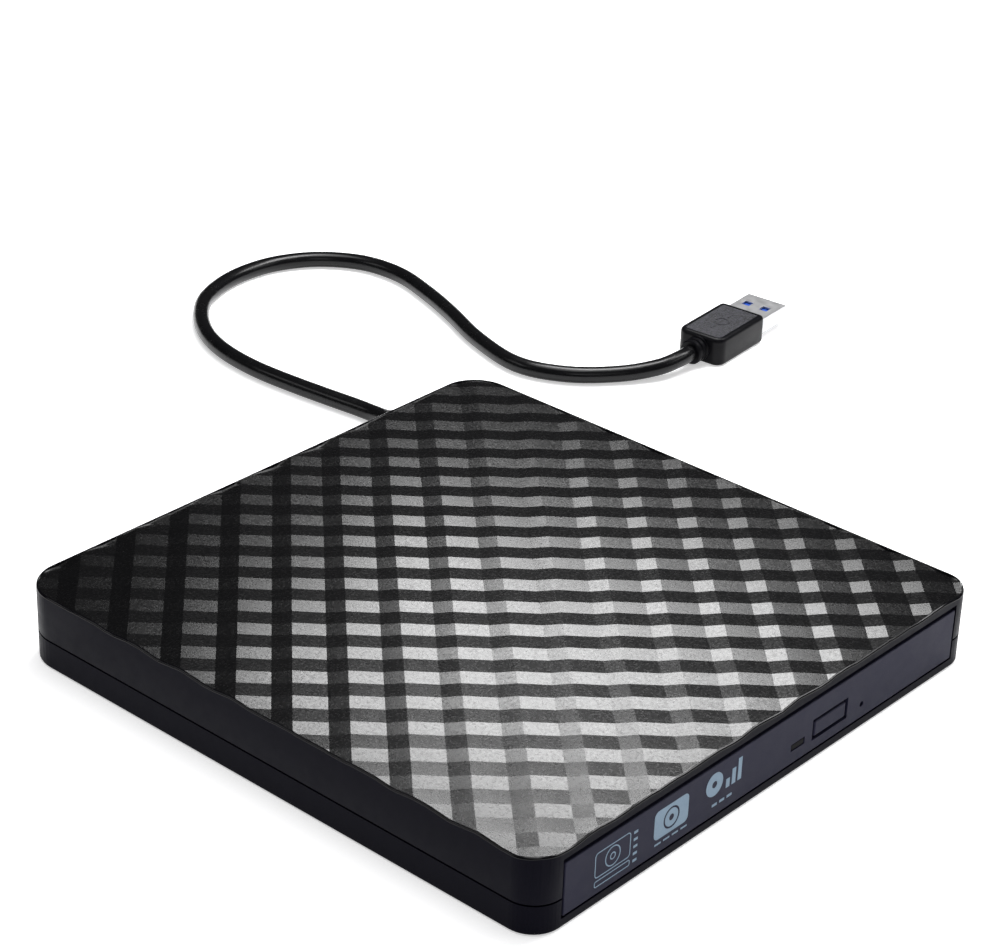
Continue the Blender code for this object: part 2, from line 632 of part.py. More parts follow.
def sled_drive(looks, mechanism):
    motor = bmesh.new()
    add_box(motor, (9.0, 20.5), (SCREW_OFFSET - 3.6, SCREW_OFFSET + 3.6), (4.4, 9.0))
    case = add_object("sled_motor", motor, looks["steel"], mechanism)
    soften(case, 0.8, 2)
    axis = empty("lead_screw_axis", (39.0, SCREW_OFFSET, 7.4), parent=mechanism)
    thread = bmesh.new()
    turns = 24
    start, end = -18.2, 17.7
    pitch = (end - start) / turns
    profile = [(SCREW_RADIUS - 0.25, start)]
    for turn in range(turns):
        profile.append((SCREW_RADIUS, start + pitch * (turn + 0.5)))
        profile.append((SCREW_RADIUS - 0.25, start + pitch * (turn + 1.0)))
    add_turned(thread, profile, steps=8)
    turn_mesh(thread, "X")
    add_object("lead_screw", thread, looks["steel"], axis, smooth=True)
    box_object("screw_bearing", (57.0, 59.6), (SCREW_OFFSET - 1.8, SCREW_OFFSET + 1.8),
               (FRAME_Z[1] + GAP, 9.0), looks["white plastic"], mechanism)


def latch(looks, root):
    pivot = empty("latch_pivot", (*LATCH_PIVOT, 6.0), parent=root)
    hook_x = LATCH_POST[0] - LATCH_PIVOT[0]
    hook_y = LATCH_POST[1] - LATCH_PIVOT[1]
    finger = hook_x + 2.4
    outline = [(-2.4, 1.6), (-2.4, hook_y + 3.4), (finger, hook_y + 2.6), (finger, hook_y + 0.5),
               (1.0, hook_y + 0.5), (2.4, 1.6)]
    bm = bmesh.new()
    add_prism(bm, outline, (-1.0, 0.2))
    lever = add_object("latch_lever", bm, looks["white plastic"], pivot)
    bore = bmesh.new()
    add_cylinder(bore, 0.9 + GAP, (-3.0, 3.0), steps=16)
    cut(lever, "latch_bore", bore)
    pin = bmesh.new()
    add_turned(pin, [(0.9, 4.2), (0.9, 6.6), (1.8, 6.6), (1.8, 7.2)], steps=16)
    add_object("latch_pin", pin, looks["steel"], root, (*LATCH_PIVOT, 0.0), smooth=True)
    solenoid = box_object("latch_solenoid", (-36.0, -27.0), (-57.0, -50.0), (4.3, 9.0), looks["steel"], root)
    soften(solenoid, 0.7, 2)


def ejector(looks, root):
    x, z = EJECTOR_AXIS
    slide = empty("ejector_slide", (x, 42.0, z), parent=root)
    bm = bmesh.new()
    tip = CASE_REAR - SHEET - GAP - 42.0
    add_turned(bm, [(1.2, tip), (1.2, -1.0), (2.1, -1.0), (2.1, -2.0)], steps=16)
    turn_mesh(bm, "Y")
    add_object("ejector_plunger", bm, looks["white plastic"], slide, smooth=True)
    low, high = EJECTOR_SPRING_Y
    coils, steps, radius, wire = 5, 12, 1.7, 0.3
    rings = []
    for step in range(coils * steps + 1):
        turn = 2.0 * math.pi * step / steps
        outwards = Vector((math.cos(turn), 0.0, math.sin(turn)))
        along = Vector((0.0, 1.0, 0.0))
        centre = Vector((x, low, z)) + radius * outwards + along * (high - low) * step / (coils * steps)
        corners = ((1, 0), (0, 1), (-1, 0), (0, -1))
        rings.append([centre + wire * (a * outwards + b * along) for a, b in corners])
    spring = bmesh.new()
    loft(spring, rings)
    add_object("ejector_spring", spring, looks["steel"], root, smooth=True)


# ---- lead and plug ---------------------------------------------------------------------------------

def strain_relief(look):
    rear = DEPTH / 2
    bm = bmesh.new()
    profile = [(4.4, rear - WALL - GAP - 1.0), (4.4, rear - WALL - GAP), (3.2, rear - WALL - GAP),
               (3.2, rear + BOOT_LENGTH * 0.4), (2.6, rear + BOOT_LENGTH)]
    add_turned(bm, profile, steps=24)
    turn_mesh(bm, "Y")
    add_object("strain_relief", bm, look, place=(LEAD_EXIT_X, 0.0, SPLIT_Z), smooth=True)


def lead_route():
    """Points along the lead's middle, from the boot to the plug's collar."""
    plug_x = PLUG_PLACE[0] - (PLUG_COLLAR + GAP) * math.cos(PLUG_YAW)
    plug_y = PLUG_PLACE[1] - (PLUG_COLLAR + GAP) * math.sin(PLUG_YAW)
    start = (LEAD_EXIT_X, DEPTH / 2 + BOOT_LENGTH + GAP, SPLIT_Z)
    low = LEAD_RADIUS + 0.05
    return [start, (58.6, 83.6, 6.65), (59.2, 87.6, 5.0), (60.1, 92.0, 3.2), (60.8, 97.2, low + 0.1),
            (60.5, 103.0, low), (59.5, 111.5, low), (58.3, 123.5, low), (57.7, 136.0, low),
            (58.8, 147.7, low), (61.6, 157.5, low), (66.1, 165.7, low), (71.8, 172.5, low),
            (78.5, 177.8, low), (87.9, 181.6, low), (98.0, 183.0, low), (108.9, 181.4, low),
            (119.4, 175.3, low), (126.6, 164.8, low), (128.0, 152.0, low), (124.6, 138.5, low),
            (119.4, 124.5, low), (112.5, 108.5, low), (108.4, 91.0, low), (113.1, 77.8, low),
            (122.9, 68.1, low + 0.1), (132.0, 62.4, 3.1), (139.2, 60.55, 3.95), (plug_x, plug_y, 4.0)]


def smooth_line(points, spacing):
    """Evenly spaced points on a smooth curve through the given points."""
    path = [Vector(p) for p in points]
    path = [path[0] * 2 - path[1]] + path + [path[-1] * 2 - path[-2]]
    fine = []
    for before, here, there, after in zip(path, path[1:], path[2:], path[3:]):
        for step in range(24):
            t = step / 24
            fine.append(0.5 * (2 * here + (there - before) * t
                               + (2 * before - 5 * here + 4 * there - after) * t ** 2
                               + (3 * here - before - 3 * there + after) * t ** 3))
    fine.append(path[-2])
    length = sum((b - a).length for a, b in zip(fine, fine[1:]))
    count = round(length / spacing)
    wanted = [length * i / count for i in range(1, count)]
    even = [fine[0]]
    passed = 0.0
    for a, b in zip(fine, fine[1:]):
        step = (b - a).length
        while wanted and passed + step >= wanted[0]:
            even.append(a.lerp(b, (wanted[0] - passed) / step))
            wanted.pop(0)
        passed += step
    even.append(fine[-1])
    return even


def usb_lead(look):
    points = smooth_line(lead_route(), 4.2)
    curve = bpy.data.curves.new("usb_lead", "CURVE")
    curve.dimensions = "3D"
    curve.bevel_depth = LEAD_RADIUS * MM
    curve.bevel_resolution = 2
    curve.use_fill_caps = True
    spline = curve.splines.new("POLY")
    spline.points.add(len(points) - 1)
    for target, point in zip(spline.points, points):
        target.co = (*(point * MM), 1.0)
    curve.materials.append(look)
    lead = bpy.data.objects.new("usb_lead", curve)
    bpy.context.collection.objects.link(lead)


def usb_plug(looks):
    place = empty("plug_place", (*PLUG_PLACE, 0.0), PLUG_YAW)
    length, width, height = PLUG_SIZE
    bm = bmesh.new()
    add_box(bm, (0.0, length), (-width / 2, width / 2), (0.0, height))
    body = add_object("usb_plug_body", bm, looks["moulded cable"], place, smooth=True)
    soften(body, 1.0, 3)
    collar = bmesh.new()
    add_turned(collar, [(2.9, -PLUG_COLLAR), (3.3, 0.4 - PLUG_COLLAR), (3.3, 1.5)], steps=24)
    turn_mesh(collar, "X")
    combine(body, add_object("plug_collar", collar, None, place=(0.0, 0.0, height / 2)), "UNION")
    shell = bmesh.new()
    start = length + GAP
    middle = height / 2
    add_box(shell, (start, start + 12.0), (-6.0, 6.0), (middle - 2.25, middle + 2.25))
    metal = add_object("usb_plug_shell", shell, looks["bright metal"], place)
    hollow = bmesh.new()
    add_box(hollow, (start + 0.6, start + 13.0), (-5.65, 5.65), (middle - 1.9, middle + 1.9))
    cut(metal, "plug_hollow", hollow)
    windows = bmesh.new()
    for side in (-1, 1):
        add_box(windows, (start + 5.0, start + 7.4), sorted((side * 1.6, side * 4.0)), (middle, middle + 5.0))
    cut(metal, "plug_windows", windows)
    box_object("usb_plug_tongue", (start + 0.9, start + 11.2), (-5.35, 5.35), (middle - 0.2, middle + 1.6),
               looks["blue plastic"], place)


def build():
    clear_scene()
    looks = {
        "housing": material("housing plastic", (0.012, 0.012, 0.014), 0.35),
        "bezel": material("bezel plastic", (0.03, 0.03, 0.038), 0.4),
        "black plastic": material("black plastic", (0.02, 0.02, 0.02), 0.5),
        "tray plastic": material("tray plastic", (0.025, 0.025, 0.028), 0.5),
        "white plastic": material("white plastic", (0.75, 0.74, 0.7), 0.45),
        "blue plastic": material("blue plastic", (0.02, 0.09, 0.45), 0.4),
        "rubber": material("rubber", (0.015, 0.015, 0.015), 0.85),
        "moulded cable": material("moulded cable", (0.012, 0.012, 0.012), 0.45),
        "steel": material("steel", (0.56, 0.57, 0.58), 0.35, 1.0),
        "cast metal": material("cast metal", (0.45, 0.45, 0.46), 0.5, 1.0),
        "bright metal": material("bright metal", (0.75, 0.75, 0.76), 0.2, 1.0),
        "green board": material("green board", (0.01, 0.12, 0.04), 0.45),
        "chip": material("chip", (0.015, 0.015, 0.017), 0.4),
        "clear plastic": material("clear plastic", (0.6, 0.7, 0.75), 0.15),
        "lens glass": material("lens glass", (0.35, 0.45, 0.75), 0.05),
    }
    upper_shell(looks["housing"])
    lower_shell(looks["housing"])
    feet(looks["rubber"])
    case_screws(looks["steel"])
    drive_pan(looks["steel"])
    drive_cover(looks["steel"])
    rail_guides(looks["white plastic"])
    sliding_rails(looks["steel"])
    rear_electronics(looks)
    root = empty("tray_slide")
    mechanism = empty("mechanism", (0.0, SPINDLE_Y, 0.0), SLED_ANGLE, root)
    tray(looks["tray plastic"], root)
    tray_bezel(looks["bezel"], root)
    light_guide(looks["clear plastic"], root)
    eject_button(looks["bezel"], root)
    tray_bottom_cover(looks["steel"], root)
    tray_electronics(looks, root)
    mechanism_cover(looks["steel"], mechanism)
    traverse_frame(looks["cast metal"], mechanism)
    dampers(looks["rubber"], mechanism)
    guide_rods(looks["steel"], mechanism)
    spindle(looks, mechanism)
    optical_sled(looks, mechanism)
    sled_drive(looks, mechanism)
    latch(looks, root)
    ejector(looks, root)
    strain_relief(looks["rubber"])
    usb_lead(looks["moulded cable"])
    usb_plug(looks)
    bpy.context.view_layer.update()


build()
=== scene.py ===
import json
import math

import bmesh
import bpy
from mathutils import Matrix, Vector


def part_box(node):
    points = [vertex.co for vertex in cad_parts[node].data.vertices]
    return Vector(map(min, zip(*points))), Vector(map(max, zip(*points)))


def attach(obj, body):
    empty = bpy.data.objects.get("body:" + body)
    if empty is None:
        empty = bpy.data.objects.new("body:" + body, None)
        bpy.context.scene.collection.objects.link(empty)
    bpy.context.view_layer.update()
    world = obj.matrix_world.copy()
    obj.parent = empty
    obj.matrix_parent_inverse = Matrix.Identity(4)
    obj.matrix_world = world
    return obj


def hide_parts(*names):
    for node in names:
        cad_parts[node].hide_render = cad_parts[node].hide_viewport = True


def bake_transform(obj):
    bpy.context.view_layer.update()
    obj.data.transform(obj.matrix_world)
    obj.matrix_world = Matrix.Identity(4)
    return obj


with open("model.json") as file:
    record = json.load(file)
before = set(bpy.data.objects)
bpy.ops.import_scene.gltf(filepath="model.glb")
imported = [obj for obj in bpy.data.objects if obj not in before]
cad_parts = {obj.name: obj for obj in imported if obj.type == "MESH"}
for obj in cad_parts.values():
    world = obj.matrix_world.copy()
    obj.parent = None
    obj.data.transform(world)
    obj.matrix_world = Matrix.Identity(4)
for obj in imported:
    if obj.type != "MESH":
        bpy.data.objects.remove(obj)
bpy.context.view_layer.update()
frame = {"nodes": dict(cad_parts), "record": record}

MM = 0.001
SCENE = bpy.context.scene
NODES = frame["nodes"]
RECORD = frame["record"]
SLOT_OF = {row["node"]: row["material_slot"] for row in RECORD["subparts"]}


def box_mm(node):
    low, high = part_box(node)
    return low / MM, high / MM


# ---- camera ----------------------------------------------------------------------------------------

CAMERA_ANGLES = (-49.134, 27.933, 2.019)            # azimuth from -Y towards +X, elevation, roll, in degrees
CAMERA_DISTANCE = 0.69093
CAMERA_TARGET = Vector((0.062377, 0.055317, 0.0005))
CAMERA_LENS = 101.572
SENSOR_WIDTH = 36.0


def make_camera():
    azimuth, elevation, roll = (math.radians(angle) for angle in CAMERA_ANGLES)
    back = Vector((math.sin(azimuth) * math.cos(elevation), -math.cos(azimuth) * math.cos(elevation),
                   math.sin(elevation)))
    right = (-back).cross(Vector((0.0, 0.0, 1.0))).normalized()
    up = right.cross(-back)
    side = math.cos(roll) * right + math.sin(roll) * up
    top = -math.sin(roll) * right + math.cos(roll) * up
    data = bpy.data.cameras.new("camera")
    data.sensor_fit = "HORIZONTAL"
    data.sensor_width = SENSOR_WIDTH
    data.lens = CAMERA_LENS
    data.clip_start = 0.01
    data.clip_end = 20.0
    camera = bpy.data.objects.new("camera", data)
    SCENE.collection.objects.link(camera)
    rows = Matrix((side, top, back)).transposed().to_4x4()
    rows.translation = CAMERA_TARGET + back * CAMERA_DISTANCE
    camera.matrix_world = rows
    SCENE.camera = camera


# ---- lead ------------------------------------------------------------------------------------------

LEAD_RADIUS = 2.2
LEAD_LOW = LEAD_RADIUS + 0.05       # the centre line where the lead lies on the table
LEAD_EXIT = (58.5, 80.0, 6.9)
PLUG_PLACE = (147.5, 61.2)
PLUG_YAW = math.radians(5.0)
PLUG_HEIGHT = 8.0
COLLAR_REACH = 4.3                  # from the plug's body back to where the lead starts
LEAD_END = (PLUG_PLACE[0] - COLLAR_REACH * math.cos(PLUG_YAW),
            PLUG_PLACE[1] - COLLAR_REACH * math.sin(PLUG_YAW), PLUG_HEIGHT / 2)
LEAD_ROUTE = [
    (58.5, 80.3, 6.9), (58.6, 83.6, 6.65), (59.2, 87.6, 5.0), (60.1, 92.0, 3.2), (60.8, 97.2, LEAD_LOW + 0.1),
    (60.5, 103.0, LEAD_LOW), (59.5, 111.5, LEAD_LOW), (58.3, 123.5, LEAD_LOW), (57.7, 136.0, LEAD_LOW),
    (58.8, 147.7, LEAD_LOW), (61.6, 157.5, LEAD_LOW), (66.1, 165.7, LEAD_LOW), (71.8, 172.5, LEAD_LOW),
    (78.5, 177.8, LEAD_LOW), (87.9, 181.6, LEAD_LOW), (98.0, 183.0, LEAD_LOW), (108.9, 181.4, LEAD_LOW),
    (119.4, 175.3, LEAD_LOW), (126.6, 164.8, LEAD_LOW), (128.0, 152.0, LEAD_LOW), (124.6, 138.5, LEAD_LOW),
    (119.4, 124.5, LEAD_LOW), (112.5, 108.5, LEAD_LOW), (108.4, 91.0, LEAD_LOW), (113.1, 77.8, LEAD_LOW),
    (122.9, 68.1, LEAD_LOW + 0.1), (132.0, 62.4, 3.1), (139.2, 60.55, 3.95), LEAD_END]


def smooth_line(points, steps=6):
    """Points on a Catmull-Rom curve through the given points."""
    path = [Vector(p) for p in points]
    path = [path[0] * 2 - path[1]] + path + [path[-1] * 2 - path[-2]]
    line = []
    for before, here, there, after in zip(path, path[1:], path[2:], path[3:]):
        for step in range(steps):
            t = step / steps
            line.append(0.5 * (2 * here + (there - before) * t
                               + (2 * before - 5 * here + 4 * there - after) * t ** 2
                               + (3 * here - before - 3 * there + after) * t ** 3))
    line.append(path[-2])
    return line


def make_lead(look):
    line = smooth_line(LEAD_ROUTE)
    data = bpy.data.curves.new("lead_cable", "CURVE")
    data.dimensions = "3D"
    data.bevel_depth = LEAD_RADIUS * MM
    data.bevel_resolution = 7
    data.use_fill_caps = True
    spline = data.splines.new("POLY")
    spline.points.add(len(line) - 1)
    for target, point in zip(spline.points, line):
        target.co = (*(point * MM), 1.0)
    spline.use_smooth = True
    data.materials.append(look)
    lead = bpy.data.objects.new("lead_cable", data)
    SCENE.collection.objects.link(lead)
    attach(lead, "housing")
    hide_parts("usb_lead")
    return lead


# ---- materials -------------------------------------------------------------------------------------

PLASTIC_IOR = 1.5
NOISE_SPAN = (0.3, 0.7)        # the part of a noise's range that most of its values lie in


class Look:
    """One node material, built from a Principled shader with object coordinates."""

    def __init__(self, name, colour, roughness, metallic=0.0, specular=0.5):
        self.material = bpy.data.materials.new(name)
        self.material.use_nodes = True
        self.tree = self.material.node_tree
        self.shader = self.tree.nodes["Principled BSDF"]
        self.set("Base Color", (*colour, 1.0))
        self.set("Roughness", roughness)
        self.set("Metallic", metallic)
        self.set("IOR", PLASTIC_IOR)
        self.set("Specular IOR Level", specular)
        self.colour = colour
        self.roughness = roughness
        self.place = self.node("ShaderNodeTexCoord").outputs["Object"]
        self.normal = None

    def set(self, socket, value):
        self.shader.inputs[socket].default_value = value

    def node(self, kind, **settings):
        made = self.tree.nodes.new(kind)
        for name, value in settings.items():
            setattr(made, name, value)
        return made

    def link(self, source, target):
        self.tree.links.new(source, target)

    def stretched(self, scale, turn=0.0):
        mapping = self.node("ShaderNodeMapping")
        mapping.inputs["Scale"].default_value = scale
        mapping.inputs["Rotation"].default_value = (0.0, 0.0, turn)
        self.link(self.place, mapping.inputs["Vector"])
        return mapping.outputs["Vector"]

    def noise(self, size_mm, detail=2.0, rough=0.5, place=None):
        made = self.node("ShaderNodeTexNoise")
        made.inputs["Scale"].default_value = 1.0 / (size_mm * MM)
        made.inputs["Detail"].default_value = detail
        made.inputs["Roughness"].default_value = rough
        self.link(place or self.place, made.inputs["Vector"])
        return made.outputs["Fac"]

    def cells(self, size_mm):
        made = self.node("ShaderNodeTexVoronoi", feature="SMOOTH_F1")
        made.inputs["Scale"].default_value = 1.0 / (size_mm * MM)
        self.link(self.place, made.inputs["Vector"])
        return made.outputs["Distance"]

    def ranged(self, value, low, high, to_low, to_high):
        made = self.node("ShaderNodeMapRange")
        for name, number in (("From Min", low), ("From Max", high), ("To Min", to_low), ("To Max", to_high)):
            made.inputs[name].default_value = number
        self.link(value, made.inputs["Value"])
        return made.outputs["Result"]

    def vary_colour(self, value, amount, tint=(1.0, 1.0, 1.0)):
        """The colour goes from its own, less amount, to its own times tint, plus amount."""
        mix = self.node("ShaderNodeMix", data_type="RGBA")
        dark = tuple(c * (1.0 - amount) for c in self.colour)
        light = tuple(c * (1.0 + amount) * t for c, t in zip(self.colour, tint))
        colours = [s for s in mix.inputs if s.type == "RGBA"]
        colours[0].default_value = (*dark, 1.0)
        colours[1].default_value = (*light, 1.0)
        self.link(value, mix.inputs["Factor"])
        self.link([s for s in mix.outputs if s.type == "RGBA"][0], self.shader.inputs["Base Color"])

    def vary_roughness(self, value, amount=0.06):
        result = self.ranged(value, *NOISE_SPAN, self.roughness - amount, self.roughness + amount)
        self.link(result, self.shader.inputs["Roughness"])

    def bump(self, value, depth_mm):
        made = self.node("ShaderNodeBump")
        made.inputs["Strength"].default_value = 1.0
        made.inputs["Distance"].default_value = depth_mm * MM
        self.link(value, made.inputs["Height"])
        if self.normal is not None:
            self.link(self.normal, made.inputs["Normal"])
        self.normal = made.outputs["Normal"]
        self.link(self.normal, self.shader.inputs["Normal"])


def moulded(name, colour, roughness, grain_mm, depth_mm, spread=0.12, **more):
    """Moulded plastic or rubber: fine spark grain, slow colour drift and an uneven gloss."""
    look = Look(name, colour, roughness, **more)
    look.bump(look.noise(grain_mm, 3.0, 0.6), depth_mm)
    look.vary_colour(look.noise(9.0, 4.0, 0.6), spread)
    look.vary_roughness(look.noise(3.0, 5.0, 0.7))
    return look


def sheet_metal(name, colour, roughness, turn=0.0):
    """Rolled or brushed metal with fine lines along one direction and slight stains."""
    look = Look(name, colour, roughness, 1.0)
    lines = look.noise(0.12, 2.0, 0.5, look.stretched((1.0, 0.03, 1.0), turn))
    look.bump(lines, 0.006)
    look.vary_colour(look.noise(7.0, 4.0, 0.6), 0.07)
    look.vary_roughness(look.noise(1.5, 4.0, 0.6), amount=0.08)
    return look


def make_looks():
    looks = {}
    looks["housing_plastic"] = moulded("housing_plastic", (0.0022, 0.0020, 0.0062), 0.40, 0.22, 0.008,
                                       specular=0.038)
    looks["bezel_plastic"] = moulded("bezel_plastic", (0.018, 0.018, 0.036), 0.42, 0.18, 0.010,
                                     specular=0.062)
    looks["tray_plastic"] = moulded("tray_plastic", (0.016, 0.016, 0.018), 0.46, 0.35, 0.02)
    looks["black_plastic"] = moulded("black_plastic", (0.014, 0.014, 0.015), 0.42, 0.25, 0.012)
    looks["white_plastic"] = moulded("white_plastic", (0.72, 0.71, 0.66), 0.4, 0.4, 0.01, 0.04)
    looks["blue_plastic"] = moulded("blue_plastic", (0.012, 0.06, 0.36), 0.38, 0.3, 0.008, 0.08)
    looks["rubber"] = moulded("rubber", (0.012, 0.012, 0.012), 0.72, 0.3, 0.02)
    looks["cable_jacket"] = moulded("cable_jacket", (0.0035, 0.0035, 0.004), 0.24, 0.6, 0.003, specular=0.2)
    looks["steel_sheet"] = sheet_metal("steel_sheet", (0.40, 0.41, 0.42), 0.46)
    looks["steel_parts"] = sheet_metal("steel_parts", (0.6, 0.6, 0.61), 0.28, math.radians(45.0))
    looks["bright_metal"] = sheet_metal("bright_metal", (0.78, 0.78, 0.79), 0.18)
    cast = Look("cast_metal", (0.42, 0.42, 0.43), 0.5, 1.0)
    cast.bump(cast.noise(0.35, 4.0, 0.65), 0.03)
    cast.vary_colour(cast.noise(5.0, 4.0, 0.6), 0.1)
    cast.vary_roughness(cast.noise(1.0, 4.0, 0.6), amount=0.08)
    looks["cast_metal"] = cast
    looks["circuit_board"] = circuit_look()
    looks["chip_package"] = moulded("chip_package", (0.013, 0.013, 0.014), 0.5, 0.12, 0.006)
    clear = moulded("clear_plastic", (0.002, 0.002, 0.0025), 0.3, 0.4, 0.004, 0.05, specular=0.02)
    clear.set("Transmission Weight", 0.04)
    looks["clear_plastic"] = clear
    glass = moulded("lens_glass", (0.30, 0.36, 0.62), 0.05, 2.0, 0.001, 0.1)
    glass.set("Coat Weight", 1.0)
    glass.set("Coat Roughness", 0.03)
    looks["lens_glass"] = glass
    return looks


def circuit_look():
    """Solder mask with fine raised traces running in two directions."""
    look = Look("circuit_board", (0.008, 0.085, 0.03), 0.34)
    trace = look.node("ShaderNodeTexBrick")
    trace.inputs["Scale"].default_value = 1.0 / (6.0 * MM)
    trace.inputs["Mortar Size"].default_value = 0.05
    trace.inputs["Mortar Smooth"].default_value = 0.2
    look.link(look.place, trace.inputs["Vector"])
    look.bump(trace.outputs["Fac"], 0.03)
    look.bump(look.noise(0.4, 3.0, 0.6), 0.008)
    look.vary_colour(trace.outputs["Fac"], 0.35, (1.0, 1.15, 1.0))
    look.vary_roughness(look.noise(2.0, 4.0, 0.6))
    return look


def relief_look():
    """Black plastic with a fine leather grain: short wrinkles over a spark grain."""
    look = Look("relief_plastic", (0.0012, 0.0012, 0.0015), 0.25, specular=0.3)
    look.bump(look.noise(0.28, 2.0, 0.5), 0.0065)
    look.bump(look.cells(0.26), 0.002)
    look.vary_colour(look.noise(9.0, 4.0, 0.6), 0.12)
    look.vary_roughness(look.noise(0.6, 3.0, 0.6), amount=0.05)
    return look


def grip_look():
    """Coarse spark grain on the plug's pad, with painted shade in its pits and painted light on its tops."""
    look = Look("plug_grip", (0.018, 0.018, 0.023), 0.44, specular=0.5)
    grain = look.noise(0.45, 2.0, 0.5)
    look.bump(grain, 0.30)
    # painted shade and painted light: the colour follows the grain's height, darker in the pits and paler on
    # the tops
    look.vary_colour(look.ranged(grain, 0.4, 0.6, 0.0, 1.0), 0.8)
    look.vary_roughness(look.noise(1.5, 3.0, 0.6))
    return look


# ---- mesh helpers ----------------------------------------------------------------------------------

def add_piece(name, bm, look, body, replaced=(), smooth_angle=None, place=None):
    """Make an object from a mesh in millimetres, with the given look, and put it under its body's empty when
    a body is given.
    """
    bmesh.ops.scale(bm, vec=(MM, MM, MM), verts=bm.verts)
    mesh = bpy.data.meshes.new(name)
    bm.to_mesh(mesh)
    bm.free()
    made = bpy.data.objects.new(name, mesh)
    SCENE.collection.objects.link(made)
    mesh.materials.append(look)
    if smooth_angle is not None:
        mesh.shade_smooth()
        mesh.set_sharp_from_angle(angle=math.radians(smooth_angle))
    if place is not None:
        made.matrix_world = place
    if body is not None:
        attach(made, body)
    if replaced:
        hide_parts(*replaced)
    return made


def loft(bm, rings, closed=False):
    """Skin a row of rings: with end caps, or closed round on itself."""
    made = [[bm.verts.new(point) for point in ring] for ring in rings]
    count = len(made[0])
    pairs = list(zip(made, made[1:]))
    if closed:
        pairs.append((made[-1], made[0]))
    faces = []
    for low, high in pairs:
        for i in range(count):
            j = (i + 1) % count
            faces.append(bm.faces.new((low[i], low[j], high[j], high[i])))
    if not closed:
        faces.append(bm.faces.new(made[0]))
        faces.append(bm.faces.new(made[-1]))
    bmesh.ops.recalc_face_normals(bm, faces=faces)
    return faces


def add_box(bm, x, y, z):
    return loft(bm, [[(x[0], y[0], h), (x[1], y[0], h), (x[1], y[1], h), (x[0], y[1], h)] for h in z])


def circle(radius, height, centre, steps):
    turns = [2.0 * math.pi * i / steps for i in range(steps)]
    return [(centre[0] + radius * math.cos(t), centre[1] + radius * math.sin(t), height) for t in turns]


def add_turned(bm, profile, centre, steps):
    """A body turned about an upright axis, from (radius, height) pairs."""
    return loft(bm, [circle(radius, height, centre, steps) for radius, height in profile])


def rounded_outline(width, depth, radii, inset=0.0, steps=12):
    """A rounded rectangle moved inwards by inset; its corner radii are given for +Y and for -Y."""
    points = []
    for turn, (sx, sy) in enumerate(((1, 1), (-1, 1), (-1, -1), (1, -1))):
        radius = radii[0] if sy > 0 else radii[1]
        for step in range(steps + 1):
            angle = math.pi / 2 * (turn + step / steps)
            points.append((sx * (width / 2 - radius) + (radius - inset) * math.cos(angle),
                           sy * (depth / 2 - radius) + (radius - inset) * math.sin(angle)))
    return points


def carve(target, tool, operation="DIFFERENCE"):
    """Apply one exact boolean to the target's mesh and drop the tool."""
    change = target.modifiers.new("carve", "BOOLEAN")
    change.operation = operation
    change.solver = "EXACT"
    change.object = tool
    bake_modifiers(target)
    bpy.data.objects.remove(tool, do_unlink=True)


def bake_modifiers(target):
    bpy.context.view_layer.update()
    evaluated = target.evaluated_get(bpy.context.evaluated_depsgraph_get())
    mesh = bpy.data.meshes.new_from_object(evaluated)
    target.modifiers.clear()
    target.data = mesh


def tool_object(bm):
    bmesh.ops.scale(bm, vec=(MM, MM, MM), verts=bm.verts)
    mesh = bpy.data.meshes.new("tool")
    bm.to_mesh(mesh)
    bm.free()
    made = bpy.data.objects.new("tool", mesh)
    SCENE.collection.objects.link(made)
    return made


# ---- upper shell with its relief -------------------------------------------------------------------

WIDTH = 145.0
DEPTH = 148.0
CORNERS = (9.6, 6.8)            # plan radii at the rear and at the front
TOP = 18.1
SPLIT = 6.9
WALL = 1.6
BOSSES = ((-67.4, -56.0), (67.4, -56.0), (-67.4, 56.0), (67.4, 56.0))
RELIEF_ANGLE = math.radians(45.75)
ACROSS = Vector((math.sin(RELIEF_ANGLE), math.cos(RELIEF_ANGLE)))
ALONG = Vector((-math.sin(RELIEF_ANGLE), math.cos(RELIEF_ANGLE)))
# each family of bands: first crease, second crease, period, height of the ridge
BANDS_ACROSS = (-2.56, 1.48, 9.41, 0.36)
BANDS_ALONG = (10.95, 15.22, 11.385, 0.40)
BANDS_REACH = 110.0             # the bands are drawn at least this far from the middle
RIM = 0.5                       # radius of the rounded edge round the relief
RIM_LEVEL = TOP - 0.02          # where that edge starts along the rear and the right
RIM_LIFT = 0.35                 # how much of the rim's width it takes to get there from the relief
RIM_DEGREES = (12.0, 24.0, 36.0, 48.0, 60.0, 72.0, 84.0)
CUT_SPREAD = 3.0                # how far the cutter stands out past the housing
CUT_HEIGHT = 6.0                # and above it
CEILING = 15.9                  # inside of the top
LIP_TOP = 8.6                   # the wall is thinner below this, where the lower shell's lip goes in
LIP_INSET = 0.65
PARTING = 0.15                  # half of the line between the two shells
OPENING_HALF = 65.25
OPENING_TOP = 15.8
LEAD_HOLE_RADIUS = 3.5
BOSS_RADIUS, BOSS_HEIGHTS = 2.7, (9.3, 16.4)
SCREW_HOLE_RADIUS, SCREW_HOLE_HEIGHTS = 1.4, (8.0, 14.9)
RELIEF_LOWEST = 16.8            # every facet's middle is above this
RIM_LOWEST = TOP - 2.5


def creases(bands, rises_first):
    """(place, height) of each crease: a ridge at one end of every strip and a valley at the other."""
    first, second, period, height = bands
    last = math.ceil(BANDS_REACH / period)
    found = []
    for number in range(-last, last + 1):
        found.append((first + period * number, 0.0 if rises_first else height))
        found.append((second + period * number, height if rises_first else 0.0))
    return sorted(found)


